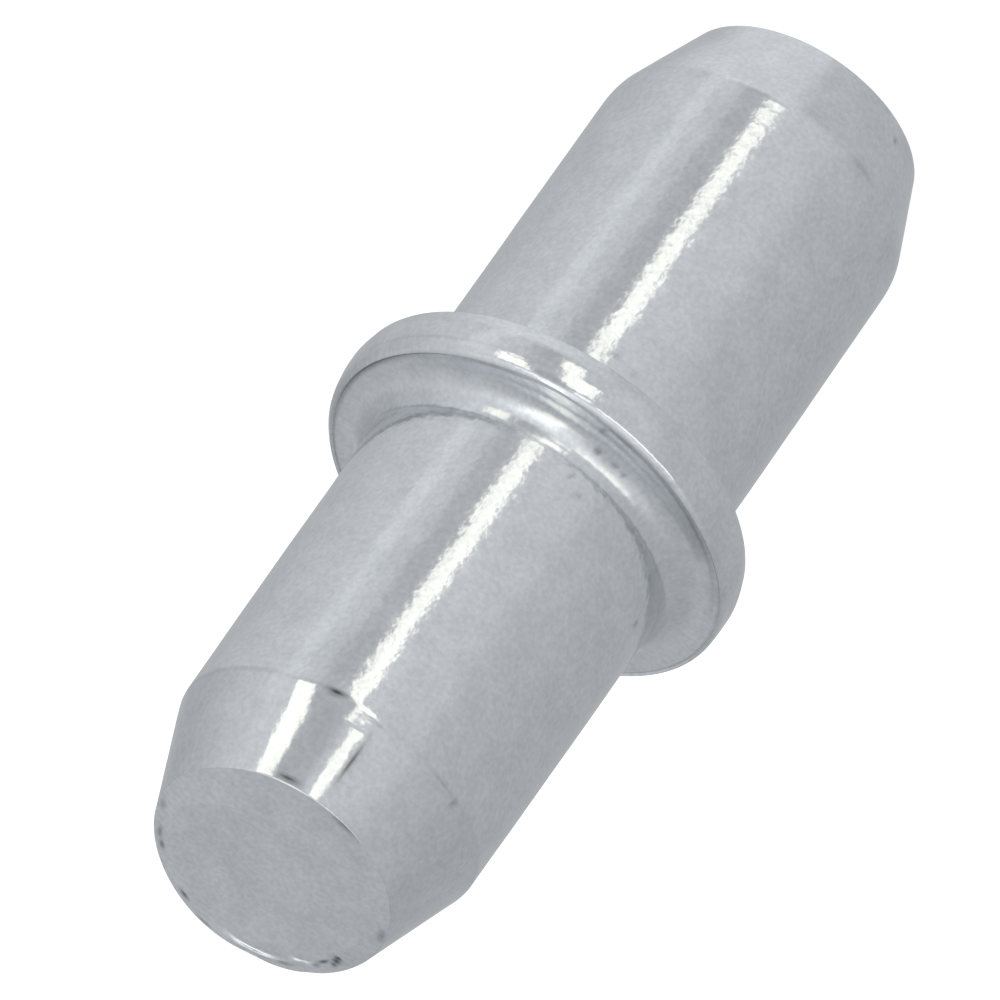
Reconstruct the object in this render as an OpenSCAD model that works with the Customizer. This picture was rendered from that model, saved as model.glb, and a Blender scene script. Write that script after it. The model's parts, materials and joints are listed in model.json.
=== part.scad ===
// Shelf support pin: one solid steel peg, cold headed in a single piece.
// The wall shank is pushed into a drilled hole in the cabinet's side until the
// collar stops against the panel, and the shelf rests on the shelf shank.
// Millimetres. The axis is +Z, and the pin stands on the end face of its wall shank.

/* [Shanks] */
// Diameter of both plain shanks, an easy push into a 5 mm hole
shank_d = 4.9; // [4:0.05:8]
// Length of the shank that enters the cabinet's side, from the collar to its end face
wall_shank_len = 7.5; // [6:0.1:20]
// Length of the shank that carries the shelf, from the collar to its end face
shelf_shank_len = 7.7; // [6:0.1:20]
// Radius of the fillet where each shank meets the collar
root_fillet = 0.27; // [0.1:0.01:0.35]

/* [Collar] */
// How far the collar stands out from the shanks at its widest, on the radius
collar_reach = 0.8; // [0.6:0.05:3]
// Thickness of the collar between its two flat faces
collar_t = 0.8; // [0.6:0.05:3]
// How far the collar's rim swells past the edges of its two faces, on the radius
collar_bulge = 0.09; // [0.03:0.01:0.2]

/* [Lead-in at the wall end] */
// Length of the lead-in taper along the axis
wall_taper_len = 1.45; // [1.2:0.05:3]
// How far the taper comes in from the shank, on the radius
wall_taper_depth = 0.55; // [0.3:0.01:0.6]
// Radius that blends the shank into the taper
wall_taper_blend = 1.4; // [0.2:0.1:2]
// Height of the rounded crown between the taper and the end face
wall_crown_len = 0.17; // [0.1:0.01:0.28]

/* [Lead-in at the shelf end] */
// Length of the lead-in taper along the axis
shelf_taper_len = 1.7; // [1.2:0.05:3]
// How far the taper comes in from the shank, on the radius
shelf_taper_depth = 0.54; // [0.3:0.01:0.6]
// Radius that blends the shank into the taper
shelf_taper_blend = 0.5; // [0.2:0.1:2]
// Height of the rounded crown between the taper and the end face
shelf_crown_len = 0.27; // [0.1:0.01:0.28]

/* [Crowns] */
// How far each crown comes in between the taper and the end face, on the radius
crown_depth = 0.27; // [0.25:0.01:0.35]
// Radius of each crown's arc, which meets the taper and the end face at an edge
crown_round = 0.9; // [0.8:0.1:1.2]

/* [Hidden] */

// Facets of a full turn, where a viewer draws the curves as a mesh
$fn = 96;

shank_r = shank_d / 2;
collar_r = shank_r + collar_reach;

// Heights along the axis, from the wall shank's end face
collar_base_z = wall_shank_len;
collar_top_z = collar_base_z + collar_t;
collar_mid_z = collar_base_z + collar_t / 2;
pin_len = collar_top_z + shelf_shank_len;

// The rim's arc goes through both faces' edges, and is widest halfway between them.
rim_arc_r = (pow(collar_t / 2, 2) + pow(collar_bulge, 2)) / (2 * collar_bulge);
rim_arc_centre_r = collar_r - rim_arc_r;

// A disc's outline, less what lies across the axis of rotation
module disc_outline(centre, r) {
    intersection() {
        translate(centre)
            circle(r = r);
        translate([0, centre[1] - r])
            square([centre[0] + r, 2 * r]);
    }
}

// Half outline of a shank up to root_y, its taper run on to a sharp end at y = 0
module taper_outline(root_y, taper_len, taper_depth, taper_blend, crown_len) {
    taper_angle = atan(taper_depth / taper_len);
    crease_y = crown_len + taper_len;

    // The blend's arc starts and ends this far along each side of the crease.
    tangent_len = taper_blend * tan(taper_angle / 2);

    polygon([
        [0, 0],
        [shank_r - crease_y * tan(taper_angle), 0],
        [shank_r - tangent_len * sin(taper_angle), crease_y - tangent_len * cos(taper_angle)],
        [shank_r, crease_y + tangent_len],
        [shank_r, root_y],
        [0, root_y],
    ]);
    disc_outline([shank_r - taper_blend, crease_y + tangent_len], taper_blend);
}

// What is left of that outline once the crown's arc has trimmed its end: the arc
// goes from the taper, crown_len up, down to the edge of the flat end face
module crown_outline(root_y, taper_len, taper_depth, crown_len) {
    chord = norm([crown_depth, crown_len]);
    centre_to_chord = sqrt(pow(crown_round, 2) - pow(chord / 2, 2));
    centre_r = shank_r - taper_depth - crown_depth / 2 - centre_to_chord * crown_len / chord;
    centre_y = crown_len / 2 + centre_to_chord * crown_depth / chord;

    // Here the arc stands furthest outside the taper, so nothing above it is trimmed.
    clear_y = centre_y - crown_round * sin(atan(taper_depth / taper_len));

    disc_outline([centre_r, centre_y], crown_round);
    square([centre_r, root_y]);
    translate([0, clear_y])
        square([collar_r, root_y - clear_y]);
}

module shank_outline(root_y, taper_len, taper_depth, taper_blend, crown_len) {
    intersection() {
        taper_outline(root_y, taper_len, taper_depth, taper_blend, crown_len);
        crown_outline(root_y, taper_len, taper_depth, crown_len);
    }
}

// Half outline of the collar: two flat faces, and a rim that swells between them
module collar_outline() {
    intersection() {
        translate([0, collar_base_z])
            square([collar_r, collar_t]);
        union() {
            disc_outline([rim_arc_centre_r, collar_mid_z], rim_arc_r);
            translate([0, collar_base_z])
                square([max(shank_r, rim_arc_centre_r), collar_t]);
        }
    }
}

// Half outline of a root fillet that stands on a collar face at y = 0
module root_fillet_outline() {
    difference() {
        translate([shank_r - root_fillet, -root_fillet])
            square(2 * root_fillet);
        translate([shank_r + root_fillet, root_fillet])
            circle(r = root_fillet);
    }
}

module wall_half_outline() {
    shank_outline(collar_mid_z, wall_taper_len, wall_taper_depth, wall_taper_blend, wall_crown_len);
    translate([0, collar_base_z])
        mirror([0, 1])
            root_fillet_outline();
}

module shelf_half_outline() {
    translate([0, pin_len])
        mirror([0, 1])
            shank_outline(
                pin_len - collar_mid_z,
                shelf_taper_len,
                shelf_taper_depth,
                shelf_taper_blend,
                shelf_crown_len
            );
    translate([0, collar_top_z])
        root_fillet_outline();
}

module pin() {
    color("silver")
        rotate_extrude() {
            wall_half_outline();
            collar_outline();
            shelf_half_outline();
        }
}

pin();
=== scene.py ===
"""Looks of a shelf support pin: zinc-plated, cold-headed steel on a pale light table.

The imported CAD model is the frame: the pin's length, shank radius and collar height are read
from it, and every other size is a named value in millimetres. The pin stands on the end face
of its wall shank, with its axis along +Z. Azimuths are in degrees, from the side that the
camera is on (-Y) towards +X. Heights are measured from the wall end's face.
"""

import json
import logging
import math
from dataclasses import dataclass
from enum import Enum

import bpy
import numpy as np
from mathutils import Matrix, Vector


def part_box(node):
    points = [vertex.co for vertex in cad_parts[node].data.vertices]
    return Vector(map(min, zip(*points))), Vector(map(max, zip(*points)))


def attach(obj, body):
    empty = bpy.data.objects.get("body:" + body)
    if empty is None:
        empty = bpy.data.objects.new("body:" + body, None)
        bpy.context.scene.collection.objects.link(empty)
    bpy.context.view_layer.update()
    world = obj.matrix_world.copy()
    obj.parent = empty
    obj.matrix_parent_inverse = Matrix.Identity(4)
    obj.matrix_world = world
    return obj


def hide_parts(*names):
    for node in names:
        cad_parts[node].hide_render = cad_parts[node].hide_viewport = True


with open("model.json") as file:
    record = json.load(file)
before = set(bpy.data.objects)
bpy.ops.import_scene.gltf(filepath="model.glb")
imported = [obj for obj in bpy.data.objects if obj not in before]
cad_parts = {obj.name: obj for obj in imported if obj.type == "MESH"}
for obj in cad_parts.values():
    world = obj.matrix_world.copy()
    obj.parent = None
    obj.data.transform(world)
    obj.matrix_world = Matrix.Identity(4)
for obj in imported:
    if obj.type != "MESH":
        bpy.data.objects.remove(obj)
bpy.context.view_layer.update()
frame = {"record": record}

MM = 0.001
STRAIGHT = 1e-4  # the smallest turn that a corner is rounded with, in radians
LOG = logging.getLogger("shelf_support_pin")


# --- Small helpers -------------------------------------------------------------------------


def linear_rgb(hex_colour: str) -> tuple[float, float, float, float]:
    """Turns an sRGB colour into the linear values that Blender's sockets take.

    Args:
        hex_colour: the colour as "#rrggbb".

    Returns:
        Red, green, blue and an alpha of 1, all linear.
    """
    coded = [int(hex_colour[i : i + 2], 16) / 255 for i in (1, 3, 5)]
    red, green, blue = (c / 12.92 if c <= 0.04045 else ((c + 0.055) / 1.055) ** 2.4 for c in coded)
    return red, green, blue, 1.0


def direction(azimuth: float, elevation: float) -> Vector:
    """Gives the unit vector that points to an azimuth and elevation, both in degrees."""
    a, e = math.radians(azimuth), math.radians(elevation)
    return Vector((math.sin(a) * math.cos(e), -math.cos(a) * math.cos(e), math.sin(e)))


def turn_from(middle: float, azimuth: np.ndarray) -> np.ndarray:
    """Gives the turn from a middle in degrees to each azimuth, in radians from -pi to pi."""
    return np.mod(azimuth - math.radians(middle) + math.pi, 2 * math.pi) - math.pi


def add_node(
    tree: bpy.types.NodeTree,
    kind: str,
    settings: dict[str, object] | None = None,
    inputs: dict[str | int, object] | None = None,
) -> bpy.types.Node:
    """Adds one shader node with its settings, its sockets' values and its links.

    Args:
        tree: the node tree to add to.
        kind: the node's type name, such as "ShaderNodeTexNoise".
        settings: attribute names and the values they get.
        inputs: socket names or numbers, each with a constant or the output socket to link.

    Returns:
        The new node.
    """
    node = tree.nodes.new(kind)
    for name, value in (settings or {}).items():
        setattr(node, name, value)
    for name, value in (inputs or {}).items():
        if isinstance(value, bpy.types.NodeSocket):
            tree.links.new(value, node.inputs[name])
        else:
            node.inputs[name].default_value = value
    return node


def add_mesh(
    name: str, vertices: np.ndarray, faces: list[list[int]], material: bpy.types.Material
) -> bpy.types.Object:
    """Puts vertices and faces into a mesh object at the origin, shaded smooth.

    Args:
        name: the object's name.
        vertices: one row of x, y and z per vertex, in metres.
        faces: the vertex numbers of each face, three or four.
        material: the material of its one slot.

    Returns:
        The new object, unturned and unscaled.
    """
    mesh = bpy.data.meshes.new(name)
    mesh.from_pydata(vertices.tolist(), [], faces)
    mesh.polygons.foreach_set("use_smooth", np.ones(len(mesh.polygons), dtype=bool))
    mesh.materials.append(material)
    mesh.update()
    made = bpy.data.objects.new(name, mesh)
    bpy.context.scene.collection.objects.link(made)
    return made


# --- Finishes ------------------------------------------------------------------------------


@dataclass(frozen=True)
class ZincPlating:
    """Bright zinc plated over cold-headed steel wire, then blue passivated.

    The bath leaves a fine, even crystal grain with a cool grey cast, so the pin looks satin
    although each grain is bright, and a narrow light breaks up along its edges. The tapers,
    which the header's die pressed, are smoother than the free end faces.

    Attributes:
        light_tone: colour where the deposit is brightest.
        dark_tone: colour where the passivation film is thicker.
        soil_and_shade_tone: colour of the dust in nicks, and of the painted shade on the collar.
        grain_mm: size of the plating's grain, drawn coarser than its true 0.01 mm to show.
        grain_detail: how many finer layers the grain has.
        grain_height_mm: height of that grain.
        peel_mm: size of the gentle lumps under the grain.
        peel_detail: how many finer layers they have.
        peel_height_mm: height of those lumps.
        cloud_mm: size of the patches in which the film's tone drifts.
        cloud_detail: how many finer layers they have.
        cloud_tone: how much the patches count in the tone, against the grain's 1.
        tone_span: the sums of patch and grain that give the dark and the light tone.
        smooth: roughness of the smoothest surface.
        rough: roughness of the roughest surface.
        cloud_rough: how much rougher the patches make the surface.
    """

    light_tone: str = "#edeff1"
    dark_tone: str = "#d8dbde"
    soil_and_shade_tone: str = "#2c3034"
    grain_mm: float = 0.078
    grain_detail: float = 2.0
    grain_height_mm: float = 0.0018
    peel_mm: float = 0.165
    peel_detail: float = 1.0
    peel_height_mm: float = 0.0042
    cloud_mm: float = 0.5
    cloud_detail: float = 3.0
    cloud_tone: float = 0.7
    tone_span: tuple[float, float] = (0.55, 1.15)
    smooth: float = 0.07
    rough: float = 0.5
    cloud_rough: float = 0.04

    def make(self) -> bpy.types.Material:
        """Builds the material.

        Returns:
            A metal whose roughness, grain and soil follow the mesh's attributes "matt",
            "grain" and "soil".
        """
        material = bpy.data.materials.new("bright_zinc_plating")
        material.use_nodes = True
        tree = material.node_tree
        shader = tree.nodes["Principled BSDF"]
        place = add_node(tree, "ShaderNodeTexCoord").outputs["Object"]

        grain, peel, cloud = (
            add_node(
                tree,
                "ShaderNodeTexNoise",
                {},
                {"Vector": place, "Scale": 1 / (size_mm * MM), "Detail": detail},
            ).outputs["Fac"]
            for size_mm, detail in (
                (self.grain_mm, self.grain_detail),
                (self.peel_mm, self.peel_detail),
                (self.cloud_mm, self.cloud_detail),
            )
        )
        matt, raised, soil_and_shade = (
            add_node(tree, "ShaderNodeAttribute", {"attribute_name": name}).outputs["Fac"]
            for name in ("matt", "grain", "soil_and_shade")
        )

        tone = add_node(
            tree,
            "ShaderNodeMath",
            {"operation": "MULTIPLY_ADD"},
            {0: cloud, 1: self.cloud_tone, 2: grain},
        ).outputs[0]
        tone = add_node(
            tree,
            "ShaderNodeMapRange",
            {},
            {"Value": tone, "From Min": self.tone_span[0], "From Max": self.tone_span[1]},
        ).outputs["Result"]
        metal = add_node(
            tree,
            "ShaderNodeMix",
            {"data_type": "RGBA"},
            {0: tone, 6: linear_rgb(self.dark_tone), 7: linear_rgb(self.light_tone)},
        ).outputs[2]
        # This mix paints dust into nicks, and painted shade into the collar's parting line and
        # bulge.
        colour = add_node(
            tree,
            "ShaderNodeMix",
            {"data_type": "RGBA"},
            {0: soil_and_shade, 6: metal, 7: linear_rgb(self.soil_and_shade_tone)},
        ).outputs[2]

        rough_share = add_node(
            tree, "ShaderNodeMath", {"operation": "MAXIMUM"}, {0: matt, 1: soil_and_shade}
        ).outputs[0]
        roughness = add_node(
            tree,
            "ShaderNodeMapRange",
            {},
            {"Value": rough_share, "To Min": self.smooth, "To Max": self.rough},
        ).outputs["Result"]
        roughness = add_node(
            tree,
            "ShaderNodeMath",
            {"operation": "MULTIPLY_ADD"},
            {0: cloud, 1: self.cloud_rough, 2: roughness},
        ).outputs[0]

        lumps = add_node(
            tree,
            "ShaderNodeBump",
            {},
            {"Height": peel, "Distance": self.peel_height_mm * MM, "Strength": raised},
        ).outputs["Normal"]
        crystals = add_node(
            tree,
            "ShaderNodeBump",
            {},
            {
                "Height": grain,
                "Distance": self.grain_height_mm * MM,
                "Strength": raised,
                "Normal": lumps,
            },
        ).outputs["Normal"]

        shader.inputs["Metallic"].default_value = 1.0
        tree.links.new(colour, shader.inputs["Base Color"])
        tree.links.new(roughness, shader.inputs["Roughness"])
        tree.links.new(crystals, shader.inputs["Normal"])
        return material


@dataclass(frozen=True)
class LightTable:
    """Opal acrylic sheet, cast and lit from below: white, even and without gloss.

    Attributes:
        sheet: the acrylic's own colour.
        glow: how brightly it shines with the light that comes through it.
        rough: roughness of its matt face.
        sheen: specular level of that face.
    """

    sheet: str = "#f4f5f6"
    glow: float = 0.68
    rough: float = 0.9
    sheen: float = 0.1

    def make(self) -> bpy.types.Material:
        """Builds the material.

        Returns:
            A matt white sheet that also shines.
        """
        material = bpy.data.materials.new("opal_acrylic_light_table")
        material.use_nodes = True
        shader = material.node_tree.nodes["Principled BSDF"]
        shader.inputs["Base Color"].default_value = linear_rgb(self.sheet)
        shader.inputs["Roughness"].default_value = self.rough
        shader.inputs["Specular IOR Level"].default_value = self.sheen
        shader.inputs["Emission Color"].default_value = linear_rgb(self.sheet)
        shader.inputs["Emission Strength"].default_value = self.glow
        return material


# --- The pin -------------------------------------------------------------------------------


class Finish(Enum):
    """How a stretch of the outline was left: its shares of matt roughness and of grain.

    DIE_PRESSED is pressed smooth by the header's die, DRAWN is the wire's own skin, and FREE
    is a sheared face that nothing smoothed. SEAT, RIM and ROOT are the collar's faces, its
    rim, and the hollow where the shelf shank rises from it.
    """

    DIE_PRESSED = (0.0, 0.45)
    DRAWN = (0.08, 1.0)
    FREE = (1.0, 1.0)
    SEAT = (0.3, 0.8)
    RIM = (0.04, 0.85)
    ROOT = (0.15, 1.0)


@dataclass(frozen=True)
class Corner:
    """One corner of the pin's half outline, before it is rounded.

    Attributes:
        radius: distance from the axis, in mm; an array gives one value per azimuth.
        height: height above the wall end's face, in mm, likewise.
        rounding: radius of the arc that rounds the corner, in mm, likewise; 0 on the axis.
        arc_rings: rings of vertices on that arc.
        finish: the finish of the stretch from here to the next corner.
        soil_and_shade: how dark the corner is painted, from 0 to 1; on the collar this is painted
            shade; an array likewise.
        step: the longest gap between rings on the stretch that leads here, in mm.
    """

    radius: float | np.ndarray
    height: float | np.ndarray
    rounding: float | np.ndarray
    arc_rings: int
    finish: Finish
    soil_and_shade: float | np.ndarray = 0.0
    step: float = 0.115


@dataclass(frozen=True)
class Around:
    """The azimuths round the pin, and the share that each has in one side or spot of it.

    Attributes:
        azimuth: one azimuth per column of vertices, in radians.
    """

    azimuth: np.ndarray

    @property
    def facing(self) -> np.ndarray:
        """Gives 1 on the side that faces the camera, falling to -1 on the far side."""
        return np.cos(self.azimuth)

    @property
    def near(self) -> np.ndarray:
        """Gives 1 on the side that faces the camera, and 0 from square to it onwards."""
        return np.clip(self.facing, 0, 1)

    @property
    def far(self) -> np.ndarray:
        """Gives 1 on the side away from the camera, and 0 from square to it onwards."""
        return np.clip(-self.facing, 0, 1)

    @property
    def plus_x(self) -> np.ndarray:
        """Gives 1 on the +X side, and 0 on the half away from it."""
        return np.clip(np.sin(self.azimuth), 0, 1)

    @property
    def minus_x(self) -> np.ndarray:
        """Gives 1 on the -X side, and 0 on the half away from it."""
        return np.clip(-np.sin(self.azimuth), 0, 1)

    def spot(self, middle: float, half: float) -> np.ndarray:
        """Gives a bell, 1 at the middle, with the middle and half-width in degrees."""
        return np.exp(-((turn_from(middle, self.azimuth) / math.radians(half)) ** 2) / 2)


@dataclass(frozen=True)
class WallShank:
    """The shank that goes into the cabinet's side, with its end face and lead-in taper.

    Sizes are in mm.

    Attributes:
        crown_len: height of the rounded edge of the end face.
        crown_depth: how far that edge reaches in from the taper's small end.
        crown_round: radius that rounds it into the flat face.
        tip_round: radius that rounds it into the taper.
        taper_len: length of the taper.
        taper_depth: how far the taper's small end is inside the shank.
        crease_in: how far the taper's crease is inside the shank.
        crease_round: radius of the crease on the far side.
        crease_crisp: how much less it is on the near side.
        swell_len: height above the crease at which the shank has its full radius.
        swell_round: radius of the bend there.
    """

    crown_len: float = 0.17
    crown_depth: float = 0.27
    crown_round: float = 0.18
    tip_round: float = 0.03
    taper_len: float = 1.45
    taper_depth: float = 0.55
    crease_in: float = 0.018
    crease_round: float = 1.2
    crease_crisp: float = 0.7
    swell_len: float = 2.8
    swell_round: float = 8.0

    def corners(self, around: Around, shank_r: float) -> list[Corner]:
        """Lists this shank's corners, from the middle of its end face up.

        Args:
            around: the azimuths.
            shank_r: the shank's radius, in mm.

        Returns:
            The corners in order.
        """
        tip_r = shank_r - self.taper_depth
        crease = self.crown_len + self.taper_len
        crease_round = self.crease_round - self.crease_crisp * around.near
        return [
            Corner(0.0, 0.0, 0.0, 1, Finish.FREE),
            Corner(tip_r - self.crown_depth, 0.0, self.crown_round, 5, Finish.FREE),
            Corner(tip_r, self.crown_len, self.tip_round, 4, Finish.DIE_PRESSED),
            Corner(shank_r - self.crease_in, crease, crease_round, 9, Finish.DRAWN),
            Corner(shank_r, crease + self.swell_len, self.swell_round, 3, Finish.DRAWN),
        ]


@dataclass(frozen=True)
class RimLine:
    """One line round the upper part of the collar's rim, where its outline turns.

    Attributes:
        inside: how far it is inside the collar's widest radius, in mm.
        above: how high it is above the wall face, in mm.
        follows: its share of the lip's spread.
        rounding: radius that rounds it, in mm.
        arc_rings: rings of vertices on its arc.
        soil_and_shade: how dark it is painted, from 0 to 1: a painted shade streak along the line.
        step: the longest gap between rings below it, in mm.
    """

    inside: float
    above: float
    follows: float
    rounding: float
    arc_rings: int
    soil_and_shade: float
    step: float


@dataclass(frozen=True)
class Collar:
    """The collar, from the root on its wall side to the root on its shelf side.

    Its rim bulges, and rolls over a lip to a fine parting line, where the header's two dies
    met. Inside the line is the flat seat, which a wide hollow joins to the shelf shank. The
    metal filled the die further on some sides than on others, so the lip's spread changes
    round the pin. Sizes are in mm.

    Attributes:
        thick: thickness, from the wall face to the top of the lip.
        wall_root: radius of the fillet between the wall shank and the wall face.
        wall_edge: how far the wall face's edge is inside the rim.
        wall_edge_full: how much fuller that edge is on the +X side.
        wall_edge_round: radius of that edge.
        bulge_out: how far outside the rim the bulge's corner is before its rounding.
        bulge_above: height of that corner above the wall face.
        bulge_round: radius of the bulge.
        rim_lines: the top of the bulge, the slope above it and the lip's shoulder.
        parting_in: how far the parting line is inside the rim where the lip isn't spread.
        parting_deep: how deep the line is under the collar's top.
        parting_half: how wide the line is on each side.
        parting_wide: how much wider it is towards the seat on the +X side.
        bank_deep: how deep the line's outer bank is under the collar's top.
        bank_round: radius of that bank.
        bank_shade: how dark the bank is painted, from 0 to 1: painted shade.
        parting_round: radius at the bottom of the line.
        parting_shade: how dark the line is painted, from 0 to 1: painted shade in the groove.
        seat_deep: how deep the seat is under the collar's top.
        seat_round: radius of the seat's edge.
        seat_shade: how dark that edge is painted, from 0 to 1: painted shade.
        darker_plus_x: how much darker both are on the +X side.
        line_step: the longest gap between rings across the line, in mm.
        hollow_in: how far outside the shank the seat turns up.
        hollow_round: radius of that hollow and of the next turn.
        hollow_up: height above the collar's top at which the hollow meets the shank.
        seat_step: the longest gap between rings on the seat, in mm.
        hollow_step: the same on the hollow.
        blend_up: height above the collar's top at which the shank runs straight.
        blend_out: how far outside the shank's radius it is there.
        blend_round: radius of that faint turn.
        spread_minus_x: how far the lip spreads on the -X side.
        spread_far: how far it spreads on the far side.
        spread_lap: how far it spreads in the small lap.
        lap: middle and half-width of that lap, in degrees.
    """

    thick: float = 0.8
    wall_root: float = 0.27
    wall_edge: float = 0.085
    wall_edge_full: float = 0.03
    wall_edge_round: float = 0.05
    bulge_out: float = 0.013
    bulge_above: float = 0.305
    bulge_round: float = 0.8
    rim_lines: tuple[RimLine, ...] = (
        # The first line carries a painted shade streak round the top of the bulge.
        RimLine(0.018, 0.57, follows=0.15, rounding=0.12, arc_rings=3, soil_and_shade=0.1, step=0.05),
        RimLine(0.034, 0.65, follows=0.3, rounding=0.3, arc_rings=4, soil_and_shade=0.0, step=0.04),
        RimLine(0.065, 0.74, follows=0.6, rounding=0.2, arc_rings=6, soil_and_shade=0.0, step=0.03),
    )
    parting_in: float = 0.170
    parting_deep: float = 0.038
    parting_half: float = 0.035
    parting_wide: float = 0.015
    bank_deep: float = 0.005
    bank_round: float = 0.006
    bank_shade: float = 0.3
    parting_round: float = 0.008
    parting_shade: float = 0.6
    seat_deep: float = 0.015
    seat_round: float = 0.01
    seat_shade: float = 0.1
    darker_plus_x: float = 0.3
    line_step: float = 0.02
    hollow_in: float = 0.19
    hollow_round: float = 0.4
    hollow_up: float = 0.316
    seat_step: float = 0.035
    hollow_step: float = 0.04
    blend_up: float = 0.65
    blend_out: float = 0.003
    blend_round: float = 25.0
    spread_minus_x: float = 0.09
    spread_far: float = 0.055
    spread_lap: float = 0.05
    lap: tuple[float, float] = (11, 8)

    def corners(self, around: Around, shank_r: float, base: float, rim_r: float) -> list[Corner]:
        """Lists the collar's corners, from its wall root out, up and back in.

        Args:
            around: the azimuths.
            shank_r: radius of both shanks, in mm.
            base: height of the wall face, in mm.
            rim_r: the collar's widest radius, in mm.

        Returns:
            The corners in order.
        """
        top = base + self.thick
        seat_z = top - self.seat_deep
        plus_x = around.plus_x
        spread = (
            self.spread_minus_x * around.minus_x**4
            + self.spread_lap * around.spot(*self.lap)
            + self.spread_far * around.far
        )
        wall_edge_r = rim_r - self.wall_edge + self.wall_edge_full * plus_x
        bulge_r, bulge_z = rim_r + self.bulge_out, base + self.bulge_above
        rim = [
            Corner(
                rim_r - line.inside + line.follows * spread,
                base + line.above,
                line.rounding,
                line.arc_rings,
                Finish.RIM,
                line.soil_and_shade,
                line.step,
            )
            for line in self.rim_lines
        ]
        parting_r = rim_r - self.parting_in + spread
        parting_z = top - self.parting_deep
        # Painted shade: the parting groove, its outer bank and the seat's edge are darkened in
        # colour, more on the +X side.
        parting_shade = self.parting_shade + self.darker_plus_x * plus_x
        bank_r, bank_z = parting_r + self.parting_half, top - self.bank_deep
        seat_r = parting_r - self.parting_half - self.parting_wide * plus_x
        seat_shade = self.seat_shade + self.darker_plus_x * plus_x
        hollow_r, hollow_z = shank_r + self.hollow_in, top + self.hollow_up
        blend_r, blend_z = shank_r + self.blend_out, top + self.blend_up
        step = self.line_step
        return [
            Corner(shank_r, base, self.wall_root, 12, Finish.SEAT),
            Corner(wall_edge_r, base, self.wall_edge_round, 4, Finish.RIM),
            Corner(bulge_r, bulge_z, self.bulge_round, 9, Finish.RIM),
            *rim,
            Corner(bank_r, bank_z, self.bank_round, 3, Finish.RIM, self.bank_shade, step),
            Corner(parting_r, parting_z, self.parting_round, 3, Finish.RIM, parting_shade, step),
            Corner(seat_r, seat_z, self.seat_round, 3, Finish.SEAT, seat_shade, step),
            Corner(hollow_r, seat_z, self.hollow_round, 11, Finish.SEAT, step=self.seat_step),
            Corner(shank_r, hollow_z, self.hollow_round, 11, Finish.ROOT, step=self.hollow_step),
            Corner(blend_r, blend_z, self.blend_round, 4, Finish.DRAWN),
        ]


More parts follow.
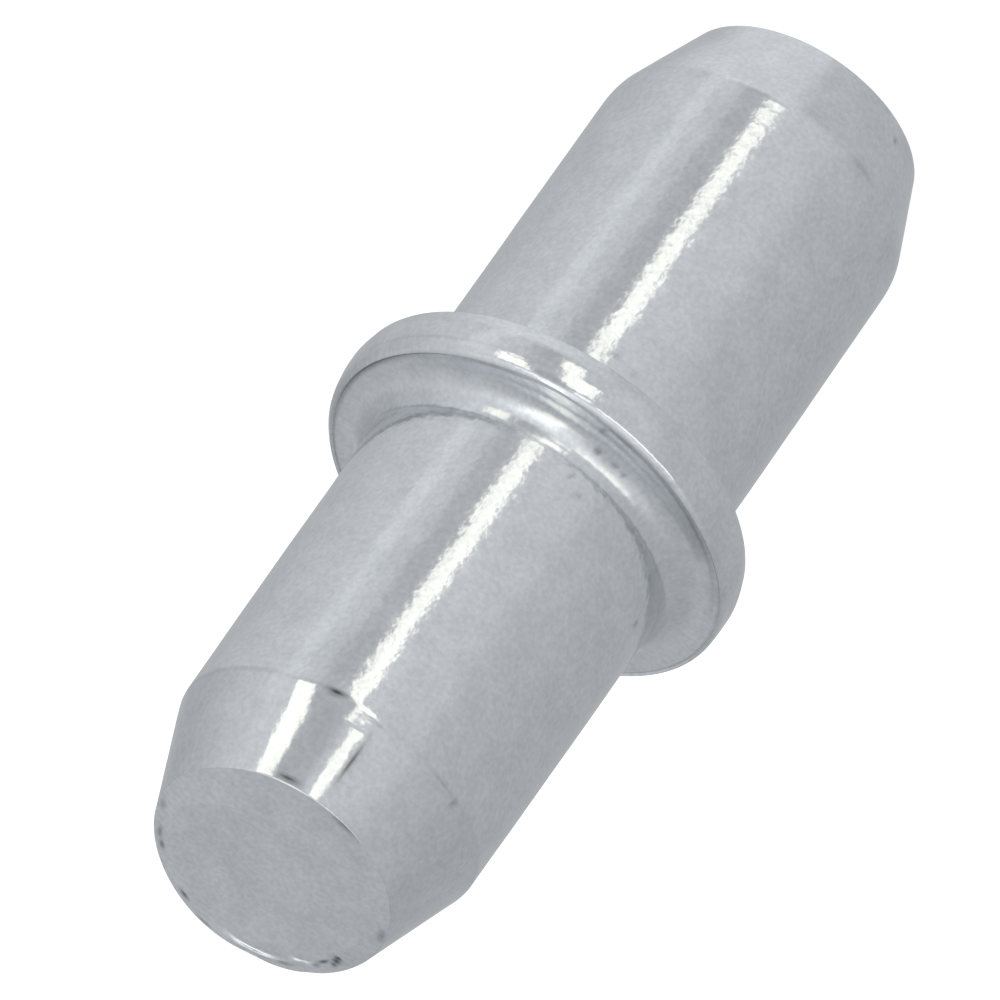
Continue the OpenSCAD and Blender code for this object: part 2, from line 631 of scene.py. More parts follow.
@dataclass(frozen=True)
class ShelfShank:
    """The shank that the shelf rests on, with its lead-in taper and its sheared end.

    The wire was sheared a little askew, so the end face leans: its edge is lowest on the side
    that faces the camera. The taper's crease and slope lean with it. Sizes are in mm.

    Attributes:
        taper_len: length of the taper, without its lean.
        taper_depth: how far the taper's small end is inside the shank, likewise.
        crown_len: height of the end face's rounded edge, likewise.
        crease_in: how far the taper's crease is inside the shank.
        crease_low: how far the crease is below its place in a true pin.
        crease_lean: how far it leans up on the near side.
        crease_pull: how far it was pulled down in one short stretch.
        pull: middle and half-width of the stretch that was pulled down, in degrees.
        crease_round: radius of the crease.
        crease_soil: how dark the dust in the crease is, from 0 to 1.
        darker_plus_x: how much darker it is on the +X side.
        shoulder_up: height of the taper's shoulder above the crease.
        shoulder_lean: how much less steeply the taper starts on the near side.
        shoulder_round: radius of the shoulder.
        edge_in: how far the face's edge is inside its place in a true pin.
        edge_lean: how far it leans out on the near side.
        edge_knocked: how far it was knocked in, in one wide stretch.
        edge_far: how much further in it is on the far side.
        knock: middle and half-width of the knocked stretch, in degrees.
        edge_low: how far the edge is below the pin's full length.
        edge_dip: how far it leans down on the near side, and up on the far side.
        edge_rise: how much higher still it is on the far side.
        edge_round: radius of the edge where it is crisp.
        worn_round: how much rounder it is in its worn stretch.
        worn: middle and half-width of the worn stretch, in degrees.
        edge_soil: how dark the dust on the edge is, from 0 to 1.
        brow_in: how far in from the edge the face flattens.
        brow_near: how much further in it does on the near side.
        brow_round: radius of that turn.
        brow_far_round: how much rounder it is on the far side.
        brow_dark: how much darker it is painted on the near side, from 0 to 1.
        face_low: how far the middle of the face is below the pin's full length.
        shear: slope of the face.
    """

    taper_len: float = 1.7
    taper_depth: float = 0.54
    crown_len: float = 0.27
    crease_in: float = 0.01
    crease_low: float = 0.04
    crease_lean: float = 0.13
    crease_pull: float = 0.085
    pull: tuple[float, float] = (14, 9)
    crease_round: float = 0.45
    crease_soil: float = 0.05
    darker_plus_x: float = 0.1
    shoulder_up: float = 0.3
    shoulder_lean: float = 0.07
    shoulder_round: float = 0.6
    edge_in: float = 0.017
    edge_lean: float = 0.035
    edge_knocked: float = 0.06
    edge_far: float = 0.03
    knock: tuple[float, float] = (132, 28)
    edge_low: float = 0.33
    edge_dip: float = 0.17
    edge_rise: float = 0.056
    edge_round: float = 0.008
    worn_round: float = 0.045
    worn: tuple[float, float] = (22, 12)
    edge_soil: float = 0.2
    brow_in: float = 0.3
    brow_near: float = 0.56
    brow_round: float = 0.15
    brow_far_round: float = 0.6
    brow_dark: float = 0.12
    face_low: float = 0.24
    shear: float = 0.10

    def corners(self, around: Around, shank_r: float, length: float) -> list[Corner]:
        """Lists this shank's corners, from its crease to the middle of its end face.

        Args:
            around: the azimuths.
            shank_r: the shank's radius, in mm.
            length: the pin's full length, in mm.

        Returns:
            The corners in order.
        """
        facing, near, far = around.facing, around.near, around.far
        true_crease = length - self.crown_len - self.taper_len
        crease = true_crease - self.crease_low + self.crease_lean * facing
        crease_z = crease - self.crease_pull * around.spot(*self.pull)
        crease_r = shank_r - self.crease_in
        slope = self.taper_depth / self.taper_len
        shoulder_r = crease_r - self.shoulder_up * (slope - self.shoulder_lean * facing)
        shoulder_z = crease + self.shoulder_up
        knocked = self.edge_knocked * around.spot(*self.knock)
        edge_r = shank_r - self.taper_depth - self.edge_in + self.edge_lean * facing
        edge_r = edge_r - knocked - self.edge_far * far
        edge_z = length - self.edge_low - self.edge_dip * facing + self.edge_rise * far
        edge_round = self.edge_round + self.worn_round * around.spot(*self.worn)
        brow_r = edge_r - self.brow_in - self.brow_near * near
        face_z = length - self.face_low
        brow_z = face_z - self.shear * brow_r * facing
        brow_round = self.brow_round + self.brow_far_round * far
        crease_soil = self.crease_soil + self.darker_plus_x * around.plus_x
        return [
            Corner(crease_r, crease_z, self.crease_round, 6, Finish.DIE_PRESSED, crease_soil),
            Corner(shoulder_r, shoulder_z, self.shoulder_round, 4, Finish.DIE_PRESSED),
            Corner(edge_r, edge_z, edge_round, 5, Finish.FREE, self.edge_soil),
            # The brow is painted darker on the side facing the camera.
            Corner(brow_r, brow_z, brow_round, 7, Finish.FREE, self.brow_dark * near),
            Corner(0.0, face_z, 0.0, 1, Finish.FREE),
        ]


@dataclass(frozen=True)
class Ripple:
    """A family of faint waves in the surface, left by drawing, pressing and plating.

    Attributes:
        longest: the longest wave, in mm.
        shortest: the shortest wave, in mm.
        rms: the family's height, in mm, as a root mean square.
        waves: how many waves it has.
    """

    longest: float
    shortest: float
    rms: float
    waves: int


@dataclass(frozen=True)
class Nick:
    """A small dent, burr, smear or rubbed spot in the surface.

    Attributes:
        azimuth: where it is round the pin, in degrees.
        radius: how far its middle is from the axis, in mm.
        height: how high its middle is, in mm.
        around: its half-width round the pin, in mm.
        along: its half-width along the outline, in mm.
        depth: how deep it is, in mm; a raised burr is negative.
        soil_and_shade: how dark it is painted, from 0 to 1: dust in dents, painted shade in the
            dentless patches along the collar's parting line and bulge.
        rubbed: how far it is polished, from 0 to 1.
    """

    azimuth: float
    radius: float
    height: float
    around: float
    along: float
    depth: float
    soil_and_shade: float
    rubbed: float = 0.0


@dataclass
class Pin:
    """The whole pin, as one surface swept round its axis.

    Attributes:
        length: overall length, from the frame, in mm.
        shank_r: radius of both shanks, from the frame's mounts, in mm.
        collar_base: height of the collar's wall face, from the frame's mounts, in mm.
        collar_r: the collar's widest radius, from the frame, in mm.
        wall_shank: the shank below the collar.
        collar: the collar.
        shelf_shank: the shank above it.
        azimuths: columns of vertices round the pin.
        hold: gap in mm from an arc to the extra ring that holds its end.
        bend: how far the shelf end's middle is bent towards +X, in mm.
        calm_r: radius in mm inside which the relief fades out, on the end faces.
        seed: seed of the ripples' random draws.
        ripples: the faint waves in the surface.
        nicks: the marks in the surface.
    """

    length: float
    shank_r: float
    collar_base: float
    collar_r: float

    wall_shank: WallShank = WallShank()
    collar: Collar = Collar()
    shelf_shank: ShelfShank = ShelfShank()

    azimuths: int = 300
    hold: float = 0.015
    bend: float = 0.015
    calm_r: float = 0.5
    seed: int = 5

    ripples: tuple[Ripple, ...] = (Ripple(5.0, 1.6, 0.0016, 24), Ripple(0.75, 0.32, 0.0003, 70))

    nicks: tuple[Nick, ...] = (
        # The shelf end's edge, on the side away from the camera: knocks from the barrel.
        Nick(93, 1.80, 15.76, 0.06, 0.040, 0.010, 1.0),
        Nick(104, 1.76, 15.80, 0.14, 0.022, 0.010, 0.9),
        Nick(111, 1.72, 15.81, 0.08, 0.030, 0.012, 1.0),
        Nick(119, 1.69, 15.83, 0.06, 0.030, 0.012, 1.0),
        Nick(151, 1.66, 15.90, 0.07, 0.028, 0.010, 1.0),
        Nick(168, 1.75, 15.91, 0.10, 0.018, 0.006, 0.7),
        Nick(-80, 1.84, 15.70, 0.09, 0.04, 0.008, 0.8),
        Nick(-112.8, 1.63, 15.82, 0.032, 0.045, 0.015, 1.0),
        Nick(-115.5, 1.67, 15.83, 0.034, 0.05, 0.018, 1.0),
        Nick(-118.5, 1.71, 15.84, 0.030, 0.04, 0.015, 1.0),
        Nick(-122.5, 1.61, 15.84, 0.07, 0.025, 0.012, 0.8),
        Nick(-129, 1.67, 15.86, 0.05, 0.03, 0.010, 0.6),
        Nick(-147, 1.70, 15.90, 0.10, 0.03, 0.010, 0.7),
        Nick(-157, 1.73, 15.92, 0.09, 0.02, 0.008, 0.7),
        # Two burrs on it, each with a dent outside it and rubbed bright on the slope between.
        Nick(-164.5, 1.47, 15.90, 0.28, 0.13, -0.055, 0.0),
        Nick(-164.5, 1.72, 15.91, 0.28, 0.13, 0.035, 0.0),
        Nick(-164.5, 1.60, 15.90, 0.26, 0.12, 0.0, 0.0, 1.0),
        Nick(-136, 1.42, 15.86, 0.10, 0.11, -0.050, 0.0),
        Nick(-136, 1.67, 15.87, 0.10, 0.11, 0.032, 0.0),
        Nick(-136, 1.55, 15.86, 0.10, 0.10, 0.0, 0.0, 1.0),
        # The same edge on the near side: two chips full of dust.
        Nick(16.5, 1.96, 15.425, 0.12, 0.024, 0.004, 0.95),
        Nick(-15, 1.90, 15.51, 0.16, 0.03, 0.003, 0.5),
        # A faint groove painted dark down the taper, beside the second stripe of light: a painted
        # dark edge to that stripe's reflection.
        Nick(-1.2, 2.20, 14.80, 0.028, 0.28, 0.0005, 0.8),
        # The crease of the shelf end's taper.
        Nick(16.5, 2.44, 14.06, 0.11, 0.032, 0.010, 1.0),
        Nick(-1, 2.43, 14.18, 0.07, 0.02, 0.003, 0.5),
        Nick(-40, 2.43, 14.17, 0.04, 0.06, 0.003, 0.4),
        Nick(-32, 2.44, 14.13, 0.20, 0.02, 0.002, 0.25),
        # The collar: a burr on the rim, painted shade along its parting line and bulge, tool marks
        # on the seat.
        Nick(-27.5, 3.17, 8.21, 0.05, 0.05, -0.012, 0.0),
        # Painted shade with no dent: darker stretches along the parting line.
        Nick(75, 3.07, 8.27, 1.3, 0.032, 0.0, 0.5),
        Nick(35, 3.06, 8.28, 0.7, 0.022, 0.0, 0.35),
        Nick(-40, 3.06, 8.28, 1.3, 0.034, 0.0, 0.4),
        Nick(-52, 3.03, 8.28, 0.8, 0.07, 0.0, 0.1),
        Nick(-11, 3.05, 8.28, 0.35, 0.032, 0.0, 0.45),
        # Painted shade with no dent: a darker streak along the top of the bulge.
        Nick(50, 3.235, 8.07, 1.0, 0.02, 0.0, 0.12),
        # Tool marks on the seat and in the root hollow.
        Nick(-2, 2.80, 8.29, 0.03, 0.16, -0.002, 0.0),
        Nick(-5, 2.95, 8.29, 0.04, 0.08, 0.003, 0.4),
        Nick(-8, 2.59, 8.40, 0.05, 0.04, 0.004, 0.7),
        Nick(-15, 2.59, 8.40, 0.04, 0.03, 0.004, 0.6),
        Nick(-19, 2.59, 8.40, 0.04, 0.03, 0.004, 0.6),
        # A soft darker band across the root hollow, with no dent.
        Nick(-11, 2.57, 8.42, 0.34, 0.055, 0.0, 0.28),
        # The shelf shank, just above the root.
        Nick(-11.7, 2.45, 9.07, 0.035, 0.035, 0.003, 0.35),
        Nick(-6, 2.45, 8.90, 0.03, 0.03, 0.003, 0.3),
        Nick(-64, 2.45, 9.43, 0.04, 0.04, 0.003, 0.4),
        # The wall shank, just below the collar, where the stripe of light breaks up.
        Nick(11, 2.45, 6.83, 0.05, 0.03, 0.004, 0.25),
        Nick(5, 2.45, 6.80, 0.06, 0.03, 0.003, 0.35),
        Nick(-4, 2.45, 6.86, 0.05, 0.03, 0.003, 0.35),
        Nick(8, 2.45, 6.90, 0.04, 0.02, 0.005, 0.2),
        Nick(14, 2.45, 6.95, 0.05, 0.02, 0.005, 0.2),
        # The wall end's taper.
        Nick(-39.5, 2.03, 0.52, 0.03, 0.03, 0.006, 1.0),
        Nick(-28, 2.42, 1.60, 0.16, 0.05, 0.001, 0.2),
    )

    @classmethod
    def from_frame(cls) -> "Pin":
        """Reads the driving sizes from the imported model.

        Returns:
            A pin with the frame's length, radii and collar height, in mm.
        """
        low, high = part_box("pin")
        mounts = {mount["name"]: mount for mount in frame["record"]["mounts"]}
        return cls(
            length=(high[2] - low[2]) / MM,
            shank_r=mounts["wall_shank"]["dims"]["r_mm"],
            collar_base=mounts["wall_stop"]["pos_m"][2] / MM,
            collar_r=(high[0] - low[0]) / MM / 2,
        )

    def corners(self, azimuth: np.ndarray) -> list[Corner]:
        """Lists the half outline's corners, from the wall end's middle to the shelf end's.

        Args:
            azimuth: one azimuth per column of vertices, in radians.

        Returns:
            The corners in order.
        """
        around = Around(azimuth)
        return (
            self.wall_shank.corners(around, self.shank_r)
            + self.collar.corners(around, self.shank_r, self.collar_base, self.collar_r)
            + self.shelf_shank.corners(around, self.shank_r, self.length)
        )

    def outline(self, azimuth: np.ndarray) -> dict[str, np.ndarray]:
        """Rounds the corners and spaces rings along the outline, for all azimuths at once.

        Each inner corner becomes an arc that touches both its sides: the arc's ends lie
        rounding * tan(half the turn) from the corner, and its points turn evenly from one
        end's direction to the other's about the arc's centre. The straight stretches in
        between are split evenly, and a ring close to each of their ends holds the arcs'
        shape in the smooth shading. Matt and grain shares pass from one stretch's value to the
        next one's along the arc, and soil is strongest in the middle of its corner's arc.

        Args:
            azimuth: one azimuth per column of vertices, in radians.

        Returns:
            Radii and heights in mm and the shares of matt, grain and soil, each with one
            row per ring and one column per azimuth.
        """
        corners = self.corners(azimuth)
        shape = azimuth.shape
        points = np.stack(
            [
                np.stack([np.broadcast_to(c.radius, shape), np.broadcast_to(c.height, shape)], -1)
                for c in corners
            ]
        )
        sides = np.diff(points, axis=0)
        sides /= np.linalg.norm(sides, axis=-1, keepdims=True)

        clean = [np.array([*c.finish.value, 0.0])[:, None] + 0 * azimuth for c in corners]
        rings, shares = [points[0]], [clean[0]]
        for i in range(1, len(corners)):
            last = i == len(sides)
            arc = points[i:] if last else self._arc(points[i], sides[i - 1], sides[i], corners[i])
            gap = arc[0] - rings[-1]
            span = np.linalg.norm(gap, axis=-1).max()
            steps = max(1, math.ceil(span / corners[i].step))
            along = np.arange(1, steps) / steps
            if span > 3 * self.hold:
                along = np.union1d(along, [self.hold / span, 1 - self.hold / span])
            rings += list(rings[-1] + along[:, None, None] * gap)
            rings += list(arc)
            shares += [clean[i - 1]] * len(along)
            for s in np.linspace(0, 1, len(arc)):
                share = (1 - s) * clean[i - 1] + s * clean[i]
                share[2] = math.sin(math.pi * s) * corners[i].soil_and_shade
                shares.append(share)
        outline, share = np.stack(rings), np.stack(shares)
        return {
            "radius": outline[..., 0],
            "height": outline[..., 1],
            "matt": share[:, 0],
            "grain": share[:, 1],
            "soil_and_shade": share[:, 2],
        }

    @staticmethod
    def _arc(
        corner: np.ndarray, side_in: np.ndarray, side_out: np.ndarray, spec: Corner
    ) -> np.ndarray:
        """Gives the points of the arc that rounds one corner.

        With the turn t between the two sides, the arc's centre lies at the distance
        rounding / cos(t / 2) from the corner on the inner side of the bend, and a point's
        direction from it is the weighted sum of the two end directions, with the weights
        sin((1 - s) t) / sin t and sin(s t) / sin t for s from 0 to 1.

        Args:
            corner: the corner, one row of radius and height per azimuth.
            side_in: unit direction of the side before it, likewise.
            side_out: unit direction of the side after it, likewise.
            spec: the corner's rounding and number of rings.

        Returns:
            Points on the arc, first axis from start to end.
        """
        turn = np.arccos(np.clip(np.sum(side_in * side_out, -1, keepdims=True), -1, 1))
        turn = np.maximum(turn, STRAIGHT)
        cross = side_in[:, :1] * side_out[:, 1:] - side_in[:, 1:] * side_out[:, :1]
        bend = np.where(cross < 0, -1.0, 1.0)
        inward = bend * np.stack([-side_in[:, 1], side_in[:, 0]], -1)
        rounding = np.broadcast_to(spec.rounding, turn[:, 0].shape)[:, None]
        start = corner - side_in * rounding * np.tan(turn / 2)
        centre = start + inward * rounding
        inward_end = bend * np.stack([-side_out[:, 1], side_out[:, 0]], -1)
        s = np.linspace(0, 1, spec.arc_rings)[:, None, None]
        weights = np.sin((1 - s) * turn) / np.sin(turn), np.sin(s * turn) / np.sin(turn)
        return centre - rounding * (weights[0] * inward + weights[1] * inward_end)

    def _relief(
        self, azimuth: np.ndarray, radius: np.ndarray, height: np.ndarray
    ) -> tuple[np.ndarray, np.ndarray, np.ndarray]:
        """Works out the small relief of the surface, in mm along its normal, and its wear.

        The relief is a sum of waves cos(m * azimuth + k * height + phase), with a whole
        number m round the pin, in a long and a short family, less a bell-shaped dent
        exp(-(a^2 + b^2) / 2) at each nick, with a and b in half-widths.

        Args:
            azimuth: azimuths in radians, one per column.
            radius: radii in mm, one row per ring.
            height: heights in mm, likewise.

        Returns:
            The relief, the soil and the share rubbed bright, in arrays of height's shape.
        """
        draw = np.random.default_rng(self.seed)
        relief = np.zeros_like(height)
        for ripple in self.ripples:
            shortest, longest = math.log(ripple.shortest), math.log(ripple.longest)
            length = np.exp(draw.uniform(shortest, longest, ripple.waves))
            heading = draw.uniform(0, math.pi, ripple.waves)
            phase = draw.uniform(0, 2 * math.pi, ripple.waves)
            round_turns = np.round(np.cos(heading) * 2 * math.pi * self.shank_r / length)
            per_mm = np.sin(heading) * 2 * math.pi / length
            tall = ripple.rms * math.sqrt(2 / ripple.waves)
            for m, k, p in zip(round_turns, per_mm, phase):
                relief += tall * np.cos(m * azimuth + k * height + p)
        soil_and_shade, rubbed = np.zeros_like(height), np.zeros_like(height)
        for nick in self.nicks:
            around = radius * turn_from(nick.azimuth, azimuth) / nick.around
            along = np.hypot(radius - nick.radius, height - nick.height) / nick.along
            bell = np.exp(-(around**2 + along**2) / 2)
            relief -= nick.depth * bell
            soil_and_shade = np.maximum(soil_and_shade, nick.soil_and_shade * bell)
            rubbed = np.maximum(rubbed, nick.rubbed * bell)
        return relief, soil_and_shade, rubbed

    def build(self, plating: bpy.types.Material) -> bpy.types.Object:
        """Builds the pin's mesh as a surface of two parameters, and dresses it.

        A point is (r sin a, -r cos a, z) for the azimuth a, where r and z are the outline's
        radius and height moved along the outline's normal by the relief. The first and last
        rings close to one vertex each, at the middle of the end faces. Above the collar the
        shank bends: x also grows with the square of the height above it.

        Args:
            plating: the material of the whole pin.

        Returns:
            The pin.
        """
        azimuth = np.linspace(0, 2 * math.pi, self.azimuths, endpoint=False)
        lines = self.outline(azimuth)
        radius, height = lines["radius"], lines["height"]
        slope_r, slope_z = np.gradient(radius, axis=0), np.gradient(height, axis=0)
        slope = np.hypot(slope_r, slope_z)
        relief, soil_and_shade, rubbed = self._relief(azimuth, radius, height)
        relief *= np.clip(radius / self.calm_r, 0, 1)
        radius = np.minimum(radius + relief * slope_z / slope, self.collar_r)
        height = np.clip(height - relief * slope_r / slope, 0, self.length)

        above = (height - self.collar_base - self.collar.thick) / self.collar_base
        sideways = self.bend * np.clip(above, 0, 1) ** 2
        x = radius * np.sin(azimuth) + sideways
        grid = np.stack([x, -radius * np.cos(azimuth), height], -1)
        ends = np.array([[0, 0, height[0, 0]], [self.bend, 0, height[-1, 0]]])
        vertices = np.vstack([grid[1:-1].reshape(-1, 3), ends]) * MM
        made = add_mesh("plated_pin", vertices, self._faces(len(grid) - 2), plating)
        for name, values in (
            ("matt", lines["matt"] * (1 - rubbed)),
            ("grain", lines["grain"]),
            ("soil_and_shade", np.maximum(lines["soil_and_shade"], soil_and_shade)),
        ):
            flat = np.append(values[1:-1].reshape(-1), values[[0, -1], 0])
            layer = made.data.attributes.new(name, "FLOAT", "POINT")
            layer.data.foreach_set("value", flat.astype(np.float32))
        return made

    def _faces(self, rings: int) -> list[list[int]]:
        """Joins the rings with quads, and each end's ring to its middle with triangles.

        Vertex j of ring i has the number i * azimuths + j, and the two end vertices follow
        the last ring. Every face lists its vertices anticlockwise as seen from outside.

        Args:
            rings: the number of rings, without the two end points.

        Returns:
            The vertex numbers of every face.
        """
        j = np.arange(self.azimuths)
        after = (j + 1) % self.azimuths
        i = (np.arange(rings - 1) * self.azimuths)[:, None]
        quads = np.stack([i + j, i + after, i + self.azimuths + after, i + self.azimuths + j], -1)
        last = (rings - 1) * self.azimuths
        bottom = np.stack([after, j, np.full_like(j, rings * self.azimuths)], -1)
        top = np.stack([last + j, last + after, np.full_like(j, rings * self.azimuths + 1)], -1)
        return quads.reshape(-1, 4).tolist() + bottom.tolist() + top.tolist()


# --- Stage, light and camera ----------------------------------------------------------------


@dataclass(frozen=True)
class Strip:
    """A long soft lamp outside the view, seen as a bright stripe in the plating.

    Attributes:
        name: the lamp's name.
        ends: azimuth and elevation of its two ends, in degrees, as seen from the pin.
        width: its width in degrees, as seen from the pin.
        radiance: how much brighter than the tent's wall behind it its face is.
        tint: its colour.
    """

    name: str
    ends: tuple[tuple[float, float], tuple[float, float]]
    width: float
    radiance: float
    tint: str = "#fffae8"


@dataclass(frozen=True)
class Card:
    """A lighter or darker part of the light tent's wall, with soft edges.

    Attributes:
        azimuth: the middle and the half-width, in degrees.
        elevation: the middle and the half-height, in degrees.
        softness: the share of each half-size over which the edge fades.
        change: what it adds to the wall's brightness.
    """

    azimuth: tuple[float, float]
    elevation: tuple[float, float]
    softness: float
    change: float


@dataclass
class Studio:
    """A plain light tent on a light table, with strip lamps.

    Attributes:
        reach: distance of the lamps from the pin, in metres.
        table_half: half the side of the table, in metres.
        wall: mean brightness of the tent's wall.
        wall_lean: how that brightness grows towards +X, +Y and +Z.
        wall_tint: the wall's colour.
        backdrop: the colour that the camera sees past the table's edge.
        strips: the lamps.
        cards: the lighter and darker parts of the wall.
    """

    reach: float = 0.25
    table_half: float = 1.5
    wall: float = 0.558
    wall_lean: tuple[float, float, float] = (0.066, -0.079, -0.025)
    wall_tint: str = "#f7fafd"
    backdrop: str = "#f7f8f9"
    strips: tuple[Strip, ...] = (
        Strip("front_foot", ((20.9, -37.5), (20.7, -29.0)), 10.1, 0.68),
        Strip("front_low", ((20.7, -29.0), (11.5, -9.0)), 10.1, 0.68),
        Strip("front_middle", ((7.5, -25.0), (5.5, -8.0)), 9.0, 0.68),
        Strip("front_high", ((6.0, 1.0), (6.0, 15.0)), 9.2, 0.68),
        Strip("side", ((48.1, -14.0), (48.1, 14.0)), 13.7, 0.74),
        Strip("overhead", ((31.0, 39.0), (20.0, 72.0)), 16.0, 0.72),
        Strip("right_high", ((-4.0, 20.5), (-48.0, 20.5)), 7.6, 0.85),
    )
    cards: tuple[Card, ...] = (
        Card((-7, 26), (-25, 40), 0.35, 0.06),
        Card((85, 40), (-20, 45), 0.8, 0.06),
        Card((67.5, 6.5), (-33, 22), 0.3, 0.10),
        Card((37, 9), (-35, 16), 0.5, -0.13),
        Card((30, 13), (0, 16), 0.4, -0.15),
        Card((63, 10), (2, 14), 0.6, 0.06),
        Card((128, 34), (-4, 22), 0.6, -0.08),
        Card((95, 82), (-80, 30), 0.25, 0.14),
        Card((4, 60), (40, 18), 0.9, 0.40),
        Card((32, 16), (33, 6), 0.6, 0.40),
        Card((150, 45), (40, 22), 0.6, 0.055),
        Card((180, 12), (-6, 14), 0.5, 0.90),
    )

    def build_table(self) -> bpy.types.Object:
        """Lays the table under the pin.

        The table is seen by the camera and takes the pin's shadow. It is left out of the
        plating's reflections, which show the tent and the lamps all round instead.

        Returns:
            The table.
        """
        side = np.array([[-1, -1, 0], [1, -1, 0], [1, 1, 0], [-1, 1, 0]]) * self.table_half
        table = add_mesh("light_table", side, [[0, 1, 2, 3]], LightTable().make())
        table.visible_glossy = False
        table.visible_diffuse = False
        table.visible_shadow = False
        return table

    def build_strips(self, centre: Vector) -> None:
        """Hangs each strip lamp at its angles round the pin.

        The lamp is a rectangle that faces the pin: it is as long as the chord between its
        two ends at the lamps' distance, and as wide as its width in degrees gives there. Its
        power is pi times its area times its radiance.

        Args:
            centre: the middle of the pin, in metres.
        """
        for strip in self.strips:
            first, second = (direction(*end) * self.reach for end in strip.ends)
            middle = (first + second) / 2
            along = (second - first).normalized()
            facing = -middle.normalized()
            across = along.cross(-facing)
            lamp = bpy.data.lights.new(strip.name, "AREA")
            lamp.shape = "RECTANGLE"
            lamp.size = (second - first).length
            lamp.size_y = 2 * middle.length * math.tan(math.radians(strip.width / 2))
            lamp.energy = strip.radiance * math.pi * lamp.size * lamp.size_y
            lamp.color = linear_rgb(strip.tint)[:3]
            placed = bpy.data.objects.new(strip.name, lamp)
            placed.matrix_world = Matrix.Translation(centre + middle) @ Matrix(
                (along, -across, -facing)
            ).transposed().to_4x4()
            placed.visible_camera = False
            bpy.context.scene.collection.objects.link(placed)

    def build_tent(self) -> None:
        """Makes the tent: a plain wall whose brightness drifts, and steps where the cards are.

        At a direction d the wall's brightness is its mean plus the dot product of d and
        wall_lean, plus each card's change times its windows over azimuth and elevation.
        """
        world = bpy.data.worlds.new("light_tent")
        world.use_nodes = True
        bpy.context.scene.world = world
        tree = world.node_tree
        tree.nodes.clear()
        way = add_node(tree, "ShaderNodeTexCoord").outputs["Generated"]
        part = add_node(tree, "ShaderNodeSeparateXYZ", {}, {0: way}).outputs
        back = add_node(tree, "ShaderNodeMath", {"operation": "MULTIPLY"}, {0: part["Y"], 1: -1.0})
        azimuth = add_node(
            tree, "ShaderNodeMath", {"operation": "ARCTAN2"}, {0: part["X"], 1: back.outputs[0]}
        ).outputs[0]
        elevation = add_node(
            tree, "ShaderNodeMath", {"operation": "ARCSINE"}, {0: part["Z"]}
        ).outputs[0]
        lean = add_node(
            tree, "ShaderNodeVectorMath", {"operation": "DOT_PRODUCT"}, {0: way, 1: self.wall_lean}
        ).outputs["Value"]
        brightness = add_node(
            tree, "ShaderNodeMath", {"operation": "ADD"}, {0: lean, 1: self.wall}
        ).outputs[0]
        for card in self.cards:
            within = add_node(
                tree,
                "ShaderNodeMath",
                {"operation": "MULTIPLY"},
                {
                    0: self._window(tree, azimuth, card.azimuth, card.softness),
                    1: self._window(tree, elevation, card.elevation, card.softness),
                },
            ).outputs[0]
            brightness = add_node(
                tree,
                "ShaderNodeMath",
                {"operation": "MULTIPLY_ADD"},
                {0: within, 1: card.change, 2: brightness},
            ).outputs[0]
        tent = add_node(
            tree,
            "ShaderNodeBackground",
            {},
            {"Color": linear_rgb(self.wall_tint), "Strength": brightness},
        )
        plain = add_node(
            tree, "ShaderNodeBackground", {}, {"Color": linear_rgb(self.backdrop), "Strength": 1.0}
        )
        seen = add_node(tree, "ShaderNodeLightPath").outputs["Is Camera Ray"]
        mixed = add_node(
            tree,
            "ShaderNodeMixShader",
            {},
            {0: seen, 1: tent.outputs[0], 2: plain.outputs[0]},
        )
        add_node(tree, "ShaderNodeOutputWorld", {}, {"Surface": mixed.outputs[0]})

    @staticmethod
    def _window(
        tree: bpy.types.NodeTree,
        angle: bpy.types.NodeSocket,
        span: tuple[float, float],
        softness: float,
    ) -> bpy.types.NodeSocket:
        """Adds a soft window over an angle: 1 in its middle, falling smoothly to 0 outside.

        Args:
            tree: the world's node tree.
            angle: the angle, in radians.
            span: the window's middle and half-width, in degrees.
            softness: the share of the half-width over which it fades.

        Returns:
            The window's value.
        """
        middle, half = (math.radians(v) for v in span)
        off = add_node(
            tree, "ShaderNodeMath", {"operation": "SUBTRACT"}, {0: angle, 1: middle}
        ).outputs[0]
        off = add_node(
            tree, "ShaderNodeMath", {"operation": "WRAP"}, {0: off, 1: math.pi, 2: -math.pi}
        ).outputs[0]
        away = add_node(tree, "ShaderNodeMath", {"operation": "ABSOLUTE"}, {0: off}).outputs[0]
        return add_node(
            tree,
            "ShaderNodeMapRange",
            {"interpolation_type": "SMOOTHSTEP"},
            {
                "Value": away,
                "From Min": half * (1 - softness),
                "From Max": half * (1 + softness),
                "To Min": 1.0,
                "To Max": 0.0,
            },
        ).outputs["Result"]


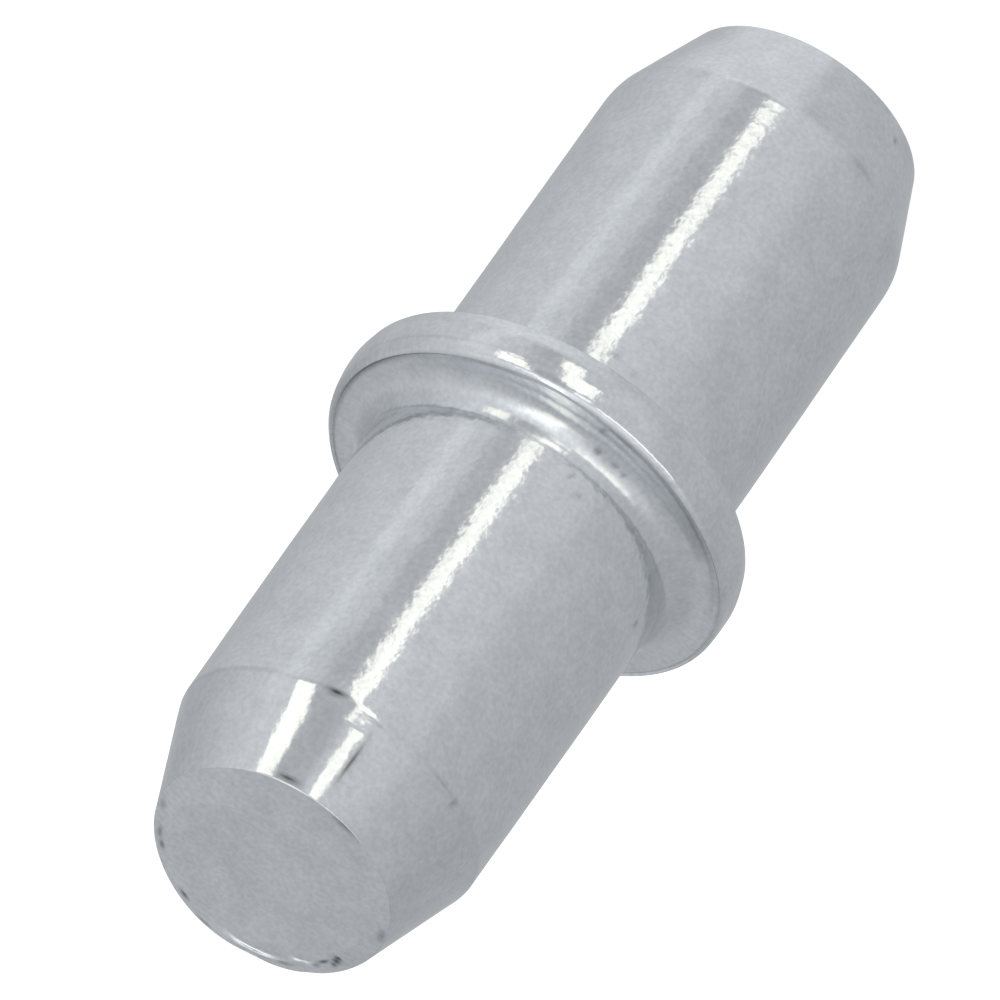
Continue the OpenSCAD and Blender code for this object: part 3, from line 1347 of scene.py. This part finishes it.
@dataclass(frozen=True)
class ProductCamera:
    """A long lens that looks down at the pin, rolled so that its shelf end points down left.

    Attributes:
        tilt: angle between the pin's axis and the line to the camera, in degrees.
        lean: clockwise angle from the view's right to the shelf end, in degrees.
        distance: from the pin to the camera, in mm.
        view: side of the square field of view at the pin, in mm.
        aim_height: height of the point on the axis that the framing is set from, in mm.
        aim_off: how far right of and above the view's middle that point is, in mm.
        sensor: side of the camera's sensor, in mm.
        clip: the nearest and farthest distance that it sees, in metres.
    """

    tilt: float = 56.95
    lean: float = 125.16
    distance: float = 620.0
    view: float = 14.18
    aim_height: float = 7.951
    aim_off: tuple[float, float] = (0.494, 0.048)
    sensor: float = 36.0
    clip: tuple[float, float] = (0.05, 10.0)

    def build(self) -> None:
        """Makes the camera and sets it as the scene's."""
        back = direction(0, 90 - self.tilt)
        level_up = (Vector((0, 0, 1)) - back * back.z).normalized()
        level_right = level_up.cross(back)
        roll = math.radians(90 + self.lean)
        right = math.cos(roll) * level_right + math.sin(roll) * level_up
        up = back.cross(right)
        data = bpy.data.cameras.new("product_camera")
        data.sensor_width = self.sensor
        data.lens = self.sensor * self.distance / self.view
        data.clip_start, data.clip_end = self.clip
        aim = Vector((0, 0, self.aim_height))
        place = aim + back * self.distance - right * self.aim_off[0] - up * self.aim_off[1]
        camera = bpy.data.objects.new("product_camera", data)
        camera.matrix_world = Matrix.Translation(place * MM) @ Matrix(
            (right, up, back)
        ).transposed().to_4x4()
        bpy.context.scene.collection.objects.link(camera)
        bpy.context.scene.camera = camera


def main() -> None:
    """Builds the pin, its stage, its light and its camera, and logs each piece."""
    logging.basicConfig(level=logging.INFO, format="%(message)s")
    bpy.context.scene.view_settings.view_transform = "Standard"

    pin = Pin.from_frame()
    plated = pin.build(ZincPlating().make())
    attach(plated, "root")
    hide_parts("pin")
    triangles = sum(len(face.vertices) - 2 for face in plated.data.polygons)
    LOG.info("%s: %d triangles", plated.name, triangles)

    studio = Studio()
    table = studio.build_table()
    LOG.info("%s: stage", table.name)
    studio.build_strips(Vector((0, 0, pin.length / 2)) * MM)
    LOG.info("strip lamps: %d", len(studio.strips))
    studio.build_tent()
    LOG.info("light tent: %d cards", len(studio.cards))
    ProductCamera().build()
    LOG.info("camera: set")


if __name__ == "__main__":
    main()
